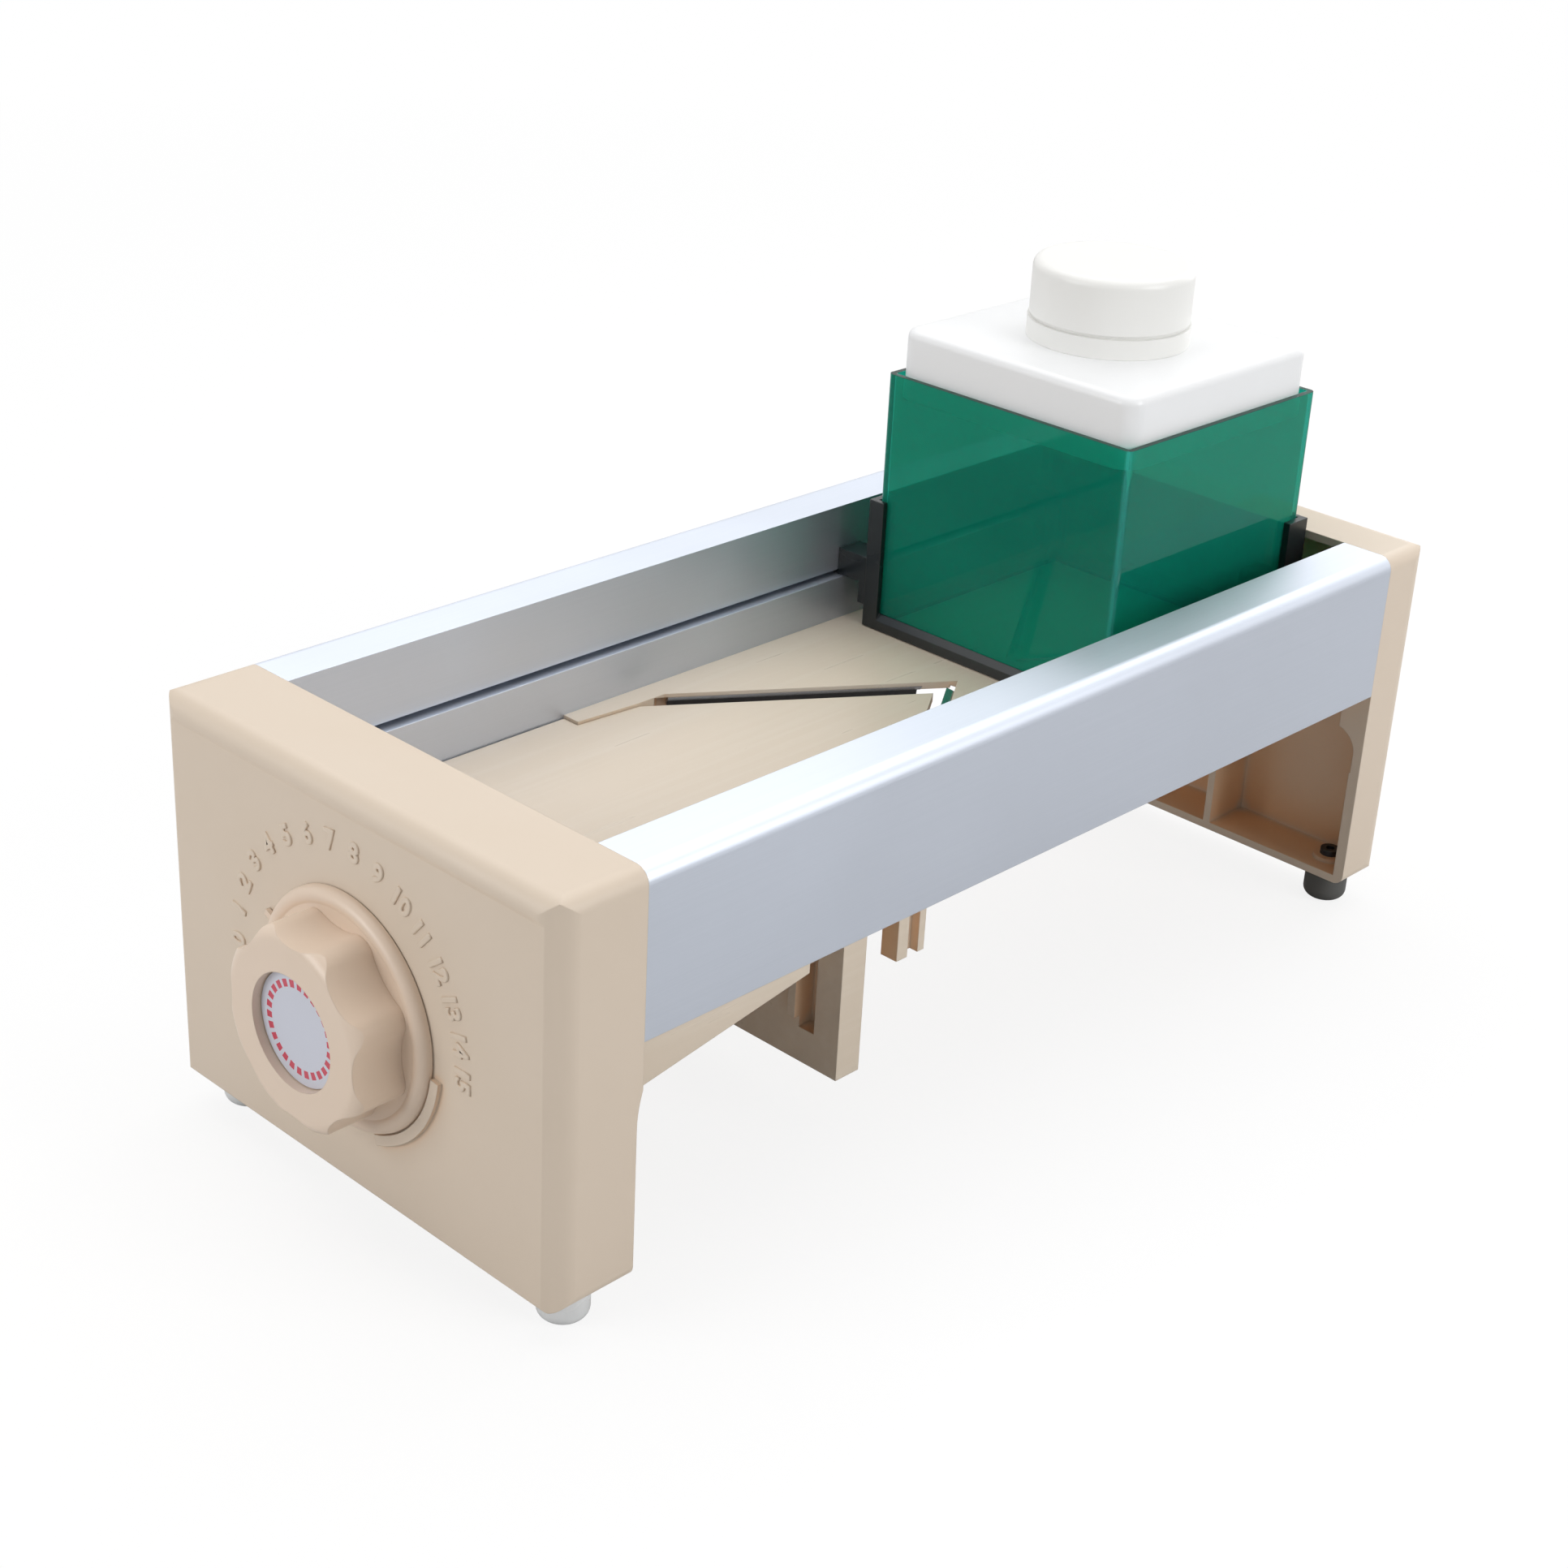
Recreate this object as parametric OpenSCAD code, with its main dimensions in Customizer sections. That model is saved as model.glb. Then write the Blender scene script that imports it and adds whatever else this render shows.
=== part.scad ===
// Hand food slicer: a moulded housing at each end, two aluminium side rails between them,
// a sliding green hopper with a pusher, a fixed rear table with a pair of blades set in a V,
// and a front plate that a dial raises and lowers to set the slice thickness.
// X is across the machine, Y runs from the dial to the back, Z is up, feet on Z = 0.

/* [Body] */
// Width across the outside of the two side rails
body_w = 180; // [150:1:220]
// Length from the face that carries the dial to the back of the rear housing
body_l = 416; // [380:1:480]
// Height of the end housings, without the feet
body_h = 131.5; // [124:0.5:160]
// Depth of the front housing along the machine
front_d = 32; // [30:0.5:44]
// Depth of the rear housing along the machine
rear_d = 24; // [20:0.5:36]
// Wall thickness of the moulded housings
wall = 3; // [2.4:0.1:4]
// Radius of the top edges of the housings' outer faces
edge_r = 6; // [4:0.5:8]
// Radius of the bottom edges of the housings' outer faces
edge_low = 1.2; // [0.6:0.1:3]
// How far that top edge and the upright corners stand proud of the flat face
lip = 0.5; // [0.2:0.1:1]
// Radius of the upright corners of the housings
corner_r = 8.5; // [6:0.5:11]
// How far the free edge of the front housing's sides steps back below the rails
side_step = 2; // [0.5:0.1:4]
// Which node is drawn

/* [Rails] */
// Width of the flat top of a side rail
rail_w = 20.4; // [18:0.1:26]
// How far the lower edge of a side rail hangs below the slicing surface
rail_low = 11.2; // [10:0.1:16]
// Wall thickness of the rail extrusion
rail_wall = 2; // [1.6:0.1:2.4]
// Radius of the outer top edge of the rail
rail_r = 5; // [2:0.5:7]
// How far the lower inner strip of the rail stands in from its upper inner wall
strip_step = 3; // [2:0.1:5]
// Height of the groove that guides the hopper carriage
groove_h = 1.7; // [1.5:0.1:5]
// Depth of that groove from the face of the lower strip
groove_d = 9.4; // [7:0.1:10]

/* [Table and plate] */
// Height of the slicing surface above the underside of the housings
bed_h = 89.2; // [84:0.1:96]
// Thickness of the table and of the front plate
plate_t = 3; // [2.5:0.1:4]
// Height of the lower strip of the rail above the slicing surface
strip_up = 16; // [14:0.1:22]
// Distance from the dial face to the point of the V
vee_in = 259.1; // [240:0.1:262]
// Angle of each half of the V from the long axis
vee_half = 33.5; // [28:0.5:45]
// Width of the slot between the front plate and the table, square to the slot
slot_w = 7.1; // [5.5:0.1:8]
// Distance from the rail strip to the outer end of the slot
slot_in = 9.1; // [8:0.1:16]
// Distance from the rail strip to the middle of a guide tongue of the plate
guide_in = 15.6; // [14:0.1:20]
// Width of a guide tongue
guide_w = 6; // [4:0.5:7]
// Height of the apron at the front of the plate
apron_h = 43; // [30:1:44]
// Height of the plate's side skirts at their front end
skirt_h0 = 50.5; // [40:0.5:54]
// Height of the plate's side skirts at their back end
skirt_h1 = 34.4; // [25:0.5:45]
// Length of the plate's side skirts behind the front housing
skirt_l = 92.6; // [70:0.1:100]
// How far the two lugs hang below the slicing surface
lug_h = 47.7; // [35:0.1:55]
// Distance from the dial face to the front of the cross wall under the table
cross_in = 140.9; // [120:0.1:160]
// Thickness of the cross wall
cross_t = 10.6; // [8:0.1:14]
// Height of the underside of the cross wall above the underside of the housings
cross_z = 7.5; // [4:0.5:20]

/* [Blades] */
// Thickness of a blade
blade_t = 1.2; // [0.8:0.1:2]
// Width of a blade from its edge to its back
blade_w = 15; // [12:0.5:16]
// Slope of a blade down under the table, degrees
blade_tilt = 22; // [16:1:26]
// How far the cutting edge stands out into the slot
blade_out = 3; // [1.5:0.1:3.4]
// Distance from the middle to the inner end of the left cutting edge
blade_x0 = 4.5; // [3:0.5:8]
// Distance from the middle to the inner end of the right cutting edge, which runs further in
blade_near = 0.6; // [0.4:0.1:4]
// Distance from the outer end of the slot to the end of a cutting edge
blade_in = 3.5; // [2:0.5:8]

/* [Hopper] */
// Distance from the square hopper box to the rail strip on each side
hop_side = 13.2; // [12:0.1:24]
// Wall thickness of the hopper box
hop_wall = 2.1; // [2:0.1:3]
// Height of the top of the hopper above the slicing surface
hop_h = 95.9; // [70:0.1:120]
// Distance from the back of the hopper to the back of the rear housing
hop_back = 30.6; // [28:0.1:38]
// Height of the bar round the foot of the hopper
bar_h = 5.9; // [5:0.1:8]
// Thickness of that bar outside the box
bar_t = 2; // [2:0.1:3.2]
// Height of the two tall corner posts above the slicing surface
post_h = 48.8; // [40:0.1:60]
// Length of a corner post along the machine
post_l = 11; // [9:0.5:14]

/* [Pusher] */
// Height of the pusher tray
lid_h = 24.5; // [16:0.5:30]
// How far the tray sits down inside the hopper mouth as photographed
lid_in = 8.1; // [4:0.1:12]
// Gap between the tray and the hopper walls on each side
lid_gap = 0.3; // [0.3:0.05:0.8]
// Corner radius of the tray
lid_r = 7; // [6.5:0.5:16]
// Diameter of the round pusher knob
grip_d = 56; // [40:1:60]
// Height of the round pusher knob
grip_h = 27; // [20:0.5:32]
// Height of the ring at the foot of that knob
grip_foot = 7; // [4:0.5:9]

/* [Dial] */
// Height of the slicing surface above the dial axis
dial_drop = 28.4; // [27.5:0.1:34]
// Radius to the tips of the lobes of the dial knob
knob_r = 32; // [28:0.1:32.4]
// Length of the dial knob
knob_l = 17.5; // [14:0.1:24]
// Thickness of the flat part of the dial skirt
skirt_t = 3.2; // [1.6:0.1:3.6]
// Radius of the bead round the dial skirt
skirt_r = 38.2; // [37.5:0.1:42]
// Radius of the printed badge let into the knob
badge_r = 18; // [14:0.1:20]
// Number of steps on the dial
dial_steps = 15; // [10:1:15]
// Turn between two steps, degrees
step_deg = 12; // [8:1:12]
// Fall of the front plate for each step
step_drop = 0.5; // [0.3:0.05:0.5]
// Setting at which the dial stands
setting = 2; // [0:0.1:15]
// Radius of the cam slot at setting nought
cam_r0 = 22; // [20:0.5:24]
// Radius of the pin that follows the cam slot
pin_r = 2; // [1.5:0.1:2.5]
// Radius of the dial shaft
shaft_r = 5; // [4:0.5:6]

/* [Feet and gaps] */
// Height of a foot below the housings
foot_h = 13.2; // [5:0.1:16]
// Diameter of a foot
foot_d = 16; // [12:0.5:18]
// Radius of the rolled lower edge of a foot
foot_r = 3.6; // [1:0.1:5]
// Distance of a foot's middle from the side of the machine
foot_in = 14; // [11:0.5:20]
// Gap between pieces that move past each other
gap = 0.3; // [0.2:0.05:0.6]
// Radial gap of a turning shaft
run = 0.08; // [0.03:0.01:0.1]
// Radial gap round a piece that is held still
fit = 0.05; // [0.02:0.01:0.1]

/* [Hidden] */
$fn = 56;
half_w = body_w / 2;
knob_out = knob_l + skirt_t + gap;
y0 = -(body_l - knob_out) / 2;
y1 = y0 + body_l;
yf = y0 + front_d;
yr = y1 - rear_d;
z0 = foot_h;
top_z = z0 + body_h;
rail_in = half_w - rail_w;
strip_in = rail_in - strip_step;
bed_z = z0 + bed_h;
rail_z = bed_z - rail_low;
rail_h = top_z - rail_z;
strip_z = bed_z + strip_up;
groove_z = strip_z;
groove_in = strip_in + groove_d;
dial_z = bed_z - dial_drop;
drop_now = setting * step_drop;
drop_max = dial_steps * step_drop;
plate_z = bed_z - drop_now;
cross_y = y0 + cross_in;
vee_y = y0 + vee_in;
vee_cut = slot_w / 2 / sin(vee_half);
vee_run = 1 / tan(vee_half);
hop_half = strip_in - hop_side;
hop_y = y1 - hop_back - hop_half;
slot_end = strip_in - slot_in;
blade_x1 = slot_end - blade_in;
hop_z = bed_z + hop_h;
car_z = bed_z + 0.4;
box_z = car_z + 1.6;
car_half = hop_half + bar_t;
side_half = hop_half + 2.6;
lid_z = hop_z - lid_in;
lid_half = hop_half - hop_wall - lid_gap;
skirt_y = y0 - gap;
knob_y = skirt_y - skirt_t;
cam_y0 = y0 + 9;
cam_y1 = y0 + 14;
apron_y = y0 + 16;
pin_z = dial_z + cam_r0 - drop_now;
edge_v = slot_w / 2 - blade_out;
step_z = rail_z - 28;
step_rise = 12.5;
step_r = (step_rise * step_rise + side_step * side_step) / (2 * side_step);
shoulder_y = vee_y - vee_cut - slot_end * vee_run + 0.7;
table_screw_y = [shoulder_y + 21.6, (shoulder_y + yr) / 2 + 6, yr - 22.5];
blade_len0 = blade_x0 / sin(vee_half);
blade_len1 = blade_x1 / sin(vee_half);
arm_in = slot_end + slot_in * 0.22;
guide_x = strip_in - guide_in;
apron_half = strip_in - 6.6;
channel_z = [z0 + 12, bed_z - 13];

beige = [0.80, 0.73, 0.63];
alu = [0.74, 0.76, 0.79];
steel = [0.62, 0.63, 0.65];
green = [0.07, 0.43, 0.35];
dark = [0.09, 0.12, 0.12];
white = [0.95, 0.95, 0.94];

// Draws a flat shape of the front view and runs it from ya to yb along the machine
module along_y(ya, yb) {
    translate([0, yb, 0])
        rotate([90, 0, 0])
            linear_extrude(height = yb - ya)
                children();
}

// Draws a flat shape of the side view and runs it from xa to xb across the machine
module along_x(xa, xb) {
    translate([xa, 0, 0])
        rotate([90, 0, 90])
            linear_extrude(height = xb - xa)
                children();
}

// A round pin along the machine
module pin_y(x, z, ya, yb, r) {
    translate([x, yb, z])
        rotate([90, 0, 0])
            cylinder(r = r, h = yb - ya);
}

// A box given by its two ends on each axis
module block(x, y, z) {
    translate([x[0], y[0], z[0]])
        cube([x[1] - x[0], y[1] - y[0], z[1] - z[0]]);
}

// The same thing on the right and on the left
module both_sides() {
    children();
    mirror([1, 0, 0])
        children();
}

// Square with round corners, from straight bars and four rounds
module round_square(half, r) {
    square([2 * half - 2 * r, 2 * half], center = true);
    square([2 * half, 2 * half - 2 * r], center = true);
    for (sx = [-1, 1], sy = [-1, 1])
        translate([sx * (half - r), sy * (half - r)])
            circle(r = r);
}

// End view of a housing, drawn smaller all round by the inset
module housing_outline(inset) {
    r = max(rail_r - inset, 1.5);
    low_r = max(rail_r * 0.8 - inset, 1);
    hx = half_w - inset;
    for (s = [-1, 1]) {
        translate([s * (hx - r), top_z - inset - r])
            circle(r = r);
        translate([s * (hx - low_r), z0 + inset + low_r])
            circle(r = low_r);
    }
    translate([-hx + r, z0 + inset + low_r])
        square([2 * hx - 2 * r, top_z - z0 - 2 * inset - low_r]);
    translate([-hx, z0 + inset + low_r])
        square([2 * hx, top_z - z0 - 2 * inset - low_r - r]);
    translate([-hx + low_r, z0 + inset])
        square([2 * hx - 2 * low_r, low_r + 1]);
}

// Side view of a housing, with its outer face at Y = 0 below a top edge that stands proud
module housing_side(d) {
    over = edge_r - lip;
    translate([edge_low, z0])
        square([d - edge_low, body_h - edge_r]);
    translate([0, z0 + edge_low])
        square([edge_low + 1, body_h - edge_low - edge_r]);
    translate([edge_low, z0 + edge_low])
        circle(r = edge_low);
    translate([over, top_z - edge_r - 1])
        square([d - over, edge_r + 1]);
    translate([over, top_z - edge_r])
        circle(r = edge_r);
}

// View of a housing from above with its two outer corners rounded, drawn smaller by the inset
module housing_plan(d, inset) {
    r = corner_r - inset;
    hx = half_w - inset;
    front = inset - lip;
    translate([-hx, front + r])
        square([2 * hx, d - front - r]);
    translate([-hx + r, front])
        square([2 * hx - 2 * r, r + 1]);
    for (s = [-1, 1])
        translate([s * (hx - r), front + r])
            circle(r = r);
}

// Outer form of a housing of depth d, with its outer face at Y = 0
module housing_form(d) {
    intersection() {
        along_y(-lip - 1, d)
            housing_outline(0);
        along_x(-half_w - 1, half_w + 1)
            housing_side(d + 1);
        translate([0, 0, z0 - 1])
            linear_extrude(height = body_h + 2)
                housing_plan(d + 1, 0);
    }
}

// Hollow of that housing, open at the far side
module housing_hollow(d) {
    intersection() {
        along_y(wall, d + 1)
            housing_outline(wall);
        translate([0, 0, z0 - 1])
            linear_extrude(height = body_h + 2)
                housing_plan(d + 2, wall);
    }
}

// Wall of a housing that a rail end stands against, with the tongue that enters the rail
module rail_seat(ya, yb, ta, tb) {
    difference() {
        union() {
            along_y(ya, yb)
                intersection() {
                    housing_outline(0);
                    translate([strip_in, rail_z])
                        square([rail_w + strip_step, rail_h]);
                }
            block([strip_in + rail_wall + gap, half_w - rail_wall - gap], [ta, tb],
                [rail_z + rail_wall, strip_z - rail_wall - gap]);
        }
        translate([half_w - 10, (ta + tb) / 2, rail_z])
            cylinder(r = 1.5 + fit, h = 14);
    }
}

module front_housing() {
    color(beige)
        difference() {
            union() {
                difference() {
                    translate([0, y0, 0])
                        housing_form(front_d);
                    translate([0, y0, 0])
                        housing_hollow(front_d);
                }
                // Back wall above the plate, between the rails
                along_y(yf - wall, yf)
                    intersection() {
                        housing_outline(0.5);
                        translate([-strip_in, bed_z + 0.5])
                            square([2 * strip_in, body_h]);
                    }
                both_sides() {
                    rail_seat(yf - wall, yf, yf - 0.01, yf + 18);
                    // Upright channel that guides the apron of the plate
                    block([apron_half - 4, half_w - 2.5], [apron_y - gap - 2.7, apron_y - gap], channel_z);
                    block([apron_half - 4, half_w - 2.5], [apron_y + 3 + gap, apron_y + 6 + gap], channel_z);
                    block([apron_half + gap, apron_half + 4], [apron_y - 1, apron_y + 4], channel_z);
                    // Raised stops for the pointer of the dial
                    translate([0, y0 + 0.01, dial_z])
                        rotate([90, 0, 0])
                            linear_extrude(height = 1.5)
                                intersection() {
                                    difference() {
                                        circle(r = skirt_r + 4);
                                        circle(r = skirt_r + 0.6);
                                    }
                                    polygon([[0, 0], [70 * cos(8), -70 * sin(8)],
                                        [70, -70], [70 * cos(72), -70 * sin(72)]]);
                                }
                    // Pad on the floor for the foot screw
                    translate([half_w - foot_in, y0 + front_d / 2, z0 + wall - 0.5])
                        cylinder(r = 6, h = 2.5);
                }
                // Boss round the shaft bush, with four short ribs
                pin_y(0, dial_z, y0 + wall - 0.01, y0 + 7, 12);
                for (a = [45, 135])
                    translate([0, y0 + 6, dial_z])
                        rotate([90, a, 0])
                            translate([-20, -1.25, 0])
                                cube([40, 2.5, 3.5]);
            }
            // Hole for the bush
            pin_y(0, dial_z, y0 - 1, y0 + 8, 8 + fit);
            for (s = [-1, 1])
                translate([s * (half_w - foot_in), y0 + front_d / 2, z0 - 1])
                    cylinder(r = 2.2, h = wall + 5);
            // The free edge of the sides steps back below the rails in a long hollow curve
            block([-half_w - 1, half_w + 1], [yf - side_step, yf + 1], [z0 - 1, step_z]);
            intersection() {
                translate([-half_w - 1, yf - side_step + step_r, step_z])
                    rotate([0, 90, 0])
                        cylinder(r = step_r, h = body_w + 2);
                block([-half_w - 1, half_w + 1], [yf - side_step - 1, yf + 1],
                    [step_z - 1, step_z + step_rise]);
            }
        }
}

module rear_housing() {
    shelf = bed_z - plate_t;
    color(beige)
        difference() {
            union() {
                difference() {
                    translate([0, y1, 0])
                        mirror([0, 1, 0])
                            housing_form(rear_d);
                    translate([0, y1, 0])
                        mirror([0, 1, 0])
                            housing_hollow(rear_d);
                }
                // Shelf under the back edge of the table
                block([-slot_end, slot_end], [yr - 8, y1 - wall + 0.1], [shelf - wall, shelf]);
                both_sides() {
                    rail_seat(yr, yr + wall, yr - 18, yr + 0.01);
                    // Upright rib that divides the hollow
                    block([25.6, 28.6], [yr, y1 - wall + 0.1], [z0 + wall - 0.1, shelf - 0.1]);
                    // Corner web under the rail, with a hollowed lower edge
                    difference() {
                        block([half_w - 11.2, half_w - wall + 0.3], [yr, yr + wall], [z0 + 44, rail_z + 1]);
                        pin_y(half_w - 13.2, z0 + 53, yr - 1, yr + wall + 1, 9.6);
                        block([half_w - 12, half_w - 3.7], [yr - 1, yr + wall + 1], [z0 + 40, z0 + 53]);
                    }
                    block([half_w - wall - 1.2, half_w - wall + 0.4], [yr, yr + 1.6], [z0 + 1, z0 + 46]);
                    // Pad on the floor for the foot screw
                    translate([half_w - foot_in, y1 - rear_d / 2, z0 + wall - 0.5])
                        cylinder(r = 6, h = 2);
                }
            }
            for (s = [-1, 1])
                translate([s * (half_w - foot_in), y1 - rear_d / 2, z0 - 1])
                    cylinder(r = 2.2, h = wall + 5);
        }
}

// End view of the right-hand rail
module rail_profile() {
    w = rail_wall;
    difference() {
        union() {
            translate([rail_in, rail_z])
                square([rail_w, rail_h]);
            translate([strip_in, rail_z])
                square([strip_step + 1, strip_z - rail_z + groove_h]);
        }
        translate([half_w - rail_r, top_z - rail_r])
            difference() {
                square([rail_r + 1, rail_r + 1]);
                circle(r = rail_r);
            }
        translate([strip_in - 1, groove_z])
            square([groove_d + 1, groove_h]);
        translate([strip_in - 1, groove_z + groove_h - 0.01])
            square([strip_step + 1, groove_h]);
        polygon([[half_w - w, rail_z + w], [half_w - w, top_z - rail_r],
            [half_w - rail_r, top_z - w], [rail_in + w, top_z - w],
            [rail_in + w, groove_z + groove_h + w], [groove_in + w, groove_z + groove_h + w],
            [groove_in + w, groove_z - w], [strip_in + w, groove_z - w], [strip_in + w, rail_z + w]]);
    }
}

// One rail with the holes for its end screws and for the table screws
module rail_right_shape() {
    difference() {
        along_y(yf, yr)
            rail_profile();
        for (y = [yf + 9, yr - 9])
            translate([half_w - 10, y, rail_z - 1])
                cylinder(r = 1.7, h = rail_wall + 2);
        for (y = table_screw_y)
            translate([strip_in - 1, y, bed_z - 7])
                rotate([0, 90, 0])
                    cylinder(r = 1.5 + fit, h = rail_wall + 2);
    }
}

module rail_right() {
    color(alu)
        rail_right_shape();
}

module rail_left() {
    color(alu)
        mirror([1, 0, 0])
            rail_right_shape();
}

// Slope of the top of a blade, v being the distance behind the middle of the slot
function blade_top(v) = bed_z - 0.1 - (v - edge_v) * tan(blade_tilt);

// Inner end of the cutting edge on one half of the V, measured along that half
function blade_start(side) = (side < 0 ? blade_x0 : blade_near) / sin(vee_half);

// Stands a piece on one half of the V: X outward along it, Y to the back
module on_vee(side) {
    mirror([side < 0 ? 1 : 0, 0, 0])
        translate([0, vee_y, 0])
            rotate([0, 0, -(90 - vee_half)])
                children();
}

// Holes for the blade screws, square to the slope of the blade
module blade_holes(side, r, low, high) {
    on_vee(side)
        for (u = [blade_len0 + 15, blade_len1 - 17])
            translate([u, 11, blade_top(11)])
                rotate([-blade_tilt, 0, 0])
                    translate([0, 0, -low])
                        cylinder(r = r, h = low + high);
}

module rear_table() {
    under = bed_z - plate_t;
    color(beige)
        difference() {
            union() {
                // Table top with its V-shaped front edge and two side arms
                translate([0, 0, under])
                    linear_extrude(height = plate_t)
                        polygon(concat(
                            [[0, vee_y + vee_cut]],
                            [[slot_end, vee_y + vee_cut - slot_end * vee_run], [slot_end, shoulder_y],
                            [arm_in, cross_y], [strip_in, cross_y], [strip_in, yr],
                            [-strip_in, yr], [-strip_in, cross_y], [-arm_in, cross_y],
                            [-slot_end, shoulder_y],
                            [-slot_end, vee_y + vee_cut - slot_end * vee_run]]));
                both_sides() {
                    // Side web that the table screws pass through
                    block([strip_in - 3, strip_in], [cross_y, yr - 9], [rail_z, under + 0.1]);
                    block([arm_in, strip_in], [cross_y, shoulder_y], [rail_z - 2, under + 0.1]);
                    // Short hanging lug with an open groove on its outer face
                    difference() {
                        block([slot_end + 0.5, strip_in - 1.8], [shoulder_y, shoulder_y + 13],
                            [bed_z - lug_h, under + 0.1]);
                        block([slot_end + 4, strip_in], [shoulder_y + 5, shoulder_y + 10],
                            [bed_z - lug_h - 2, rail_z - 8]);
                    }
                }
                // Seats for the blades
                intersection() {
                    for (side = [-1, 1])
                        on_vee(side)
                            along_x(blade_start(side), blade_len1 + 12)
                                polygon([[edge_v + (plate_t - 0.1) / tan(blade_tilt), under],
                                    [edge_v + blade_w, under], [edge_v + blade_w, blade_top(edge_v + blade_w)]]);
                    block([-slot_end, slot_end], [vee_y - body_w, vee_y + half_w], [under - 10, under + 1]);
                }
                // Cross wall with the raised ribs beside its guide slots
                block([-strip_in + 1.8, strip_in - 1.8], [cross_y, cross_y + cross_t],
                    [z0 + cross_z, plate_z - plate_t + drop_now - drop_max - 0.5]);
                both_sides() {
                    block([arm_in, strip_in - 1.8], [cross_y, cross_y + cross_t],
                        [z0 + cross_z, under + 0.1]);
                    block([guide_x - 6.6, guide_x - 3.3], [cross_y - 2.4, cross_y + 1],
                        [bed_z - 65.2, bed_z - 14]);
                }
                // Ribs under the table
                for (y = [vee_y + 45, yr - 40])
                    block([-strip_in + 2, strip_in - 2], [y, y + 2.5], [under - 7, under + 0.1]);
                both_sides()
                    block([19, 21.5], [vee_y + 33, yr - 9], [under - 5, under + 0.1]);
            }
            // Slope under the V edge that the blades lie against, less deep past their inner ends
            for (side = [-1, 1])
                on_vee(side) {
                    along_x(blade_start(side) - 0.4, slot_end / sin(vee_half) + 4)
                        polygon([[1, blade_top(1)], [edge_v + (plate_t - 0.1) / tan(blade_tilt) + 0.01, under],
                            [9, under - 20], [1, under - 20]]);
                    along_x(-8, blade_start(side))
                        polygon([[1, blade_top(1) - 1.2],
                            [edge_v + (plate_t - 1.3) / tan(blade_tilt) + 0.01, under],
                            [8, under - 20], [1, under - 20]]);
                }
            for (side = [-1, 1])
                blade_holes(side, 1.5 + fit, 4, 2.4);
            both_sides() {
                // Guide slots in the front of the cross wall
                block([guide_x - guide_w / 2 - gap, guide_x + guide_w / 2 + gap],
                    [cross_y - 5, cross_y + 6], [bed_z - 69.2, bed_z]);
                for (y = table_screw_y)
                    translate([strip_in - 8, y, bed_z - 7])
                        rotate([0, 90, 0])
                            cylinder(r = 1.6, h = 10);
                // Fine grooves in the table top that spread towards the back
                bed_groove();
            }
            // Hollow in the back of the cross wall, with two ribs left in it
            for (x = [-40, -12.5, 15])
                block([x, x + 25], [cross_y + 3, cross_y + cross_t + 1], [z0 + cross_z + 3, bed_z - 20]);
        }
}

// Shallow straight groove in the table behind the point of the V
module bed_groove() {
    groove_w = 2.2;
    translate([1.6, hop_y - 36, bed_z - 0.8])
        rotate([0, 0, -32])
            translate([-groove_w / 2, 0, 0])
                cube([groove_w, 92, 2]);
}

module slicing_plate() {
    low = plate_z - plate_t;
    tip = vee_y - vee_cut;
    wing = slot_end - 0.4;
    color(beige)
        difference() {
            union() {
                translate([0, 0, low])
                    linear_extrude(height = plate_t)
                        polygon([[0, tip], [wing, tip - wing * vee_run], [wing, shoulder_y - 0.4],
                            [arm_in - 0.4, cross_y - 0.4],
                            [strip_in - 0.6, cross_y - 0.4], [strip_in - 0.6, apron_y],
                            [-strip_in + 0.6, apron_y], [-strip_in + 0.6, cross_y - 0.4],
                            [-arm_in + 0.4, cross_y - 0.4],
                            [-wing, shoulder_y - 0.4],
                            [-wing, tip - wing * vee_run]]);
                // Apron that carries the follower pin
                block([-apron_half, apron_half], [apron_y, apron_y + 3], [low - apron_h, low + 0.1]);
                both_sides() {
                    // Side skirt with its sloping lower edge
                    along_x(strip_in - 3.9, strip_in - 0.9)
                        polygon([[yf - 6, low + 0.1], [yf - 6, plate_z - skirt_h0],
                            [yf + skirt_l, plate_z - skirt_h1], [yf + skirt_l, low + 0.1]]);
                    // Tongue that slides in the guide slot of the cross wall
                    block([guide_x - guide_w / 2, guide_x + guide_w / 2],
                        [cross_y - 6, cross_y + 5.7], [bed_z - 42.2, low + 0.1]);
                    block([guide_x - 1.25, guide_x + 1.25], [cross_y - 40, cross_y - 5], [low - 9, low + 0.1]);
                    block([28, 30.5], [apron_y + 2, cross_y - 1], [low - 6, low + 0.1]);
                    block([guide_x - 1.25, guide_x + 1.25], [apron_y + 2, cross_y - 39], [low - 6, low + 0.1]);
                }
                for (y = [yf + 30, yf + 66])
                    block([-strip_in + 2, strip_in - 2], [y, y + 2.5], [low - 6, low + 0.1]);
                block([-1.25, 1.25], [cross_y + cross_t + 3, tip - 8], [low - 5, low + 0.1]);
            }
            // Clearance for the end of the shaft
            block([-9, 9], [apron_y - 1, apron_y + 4], [low - apron_h - 1, dial_z + 16]);
            pin_y(0, dial_z + 16, apron_y - 1, apron_y + 4, 0.01 + 4);
            pin_y(0, pin_z, apron_y - 1, apron_y + 4, pin_r + fit);
        }
}

module follower_pin() {
    color(steel)
        pin_y(0, pin_z, cam_y0 + 0.5, apron_y + 3, pin_r);
}

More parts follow.
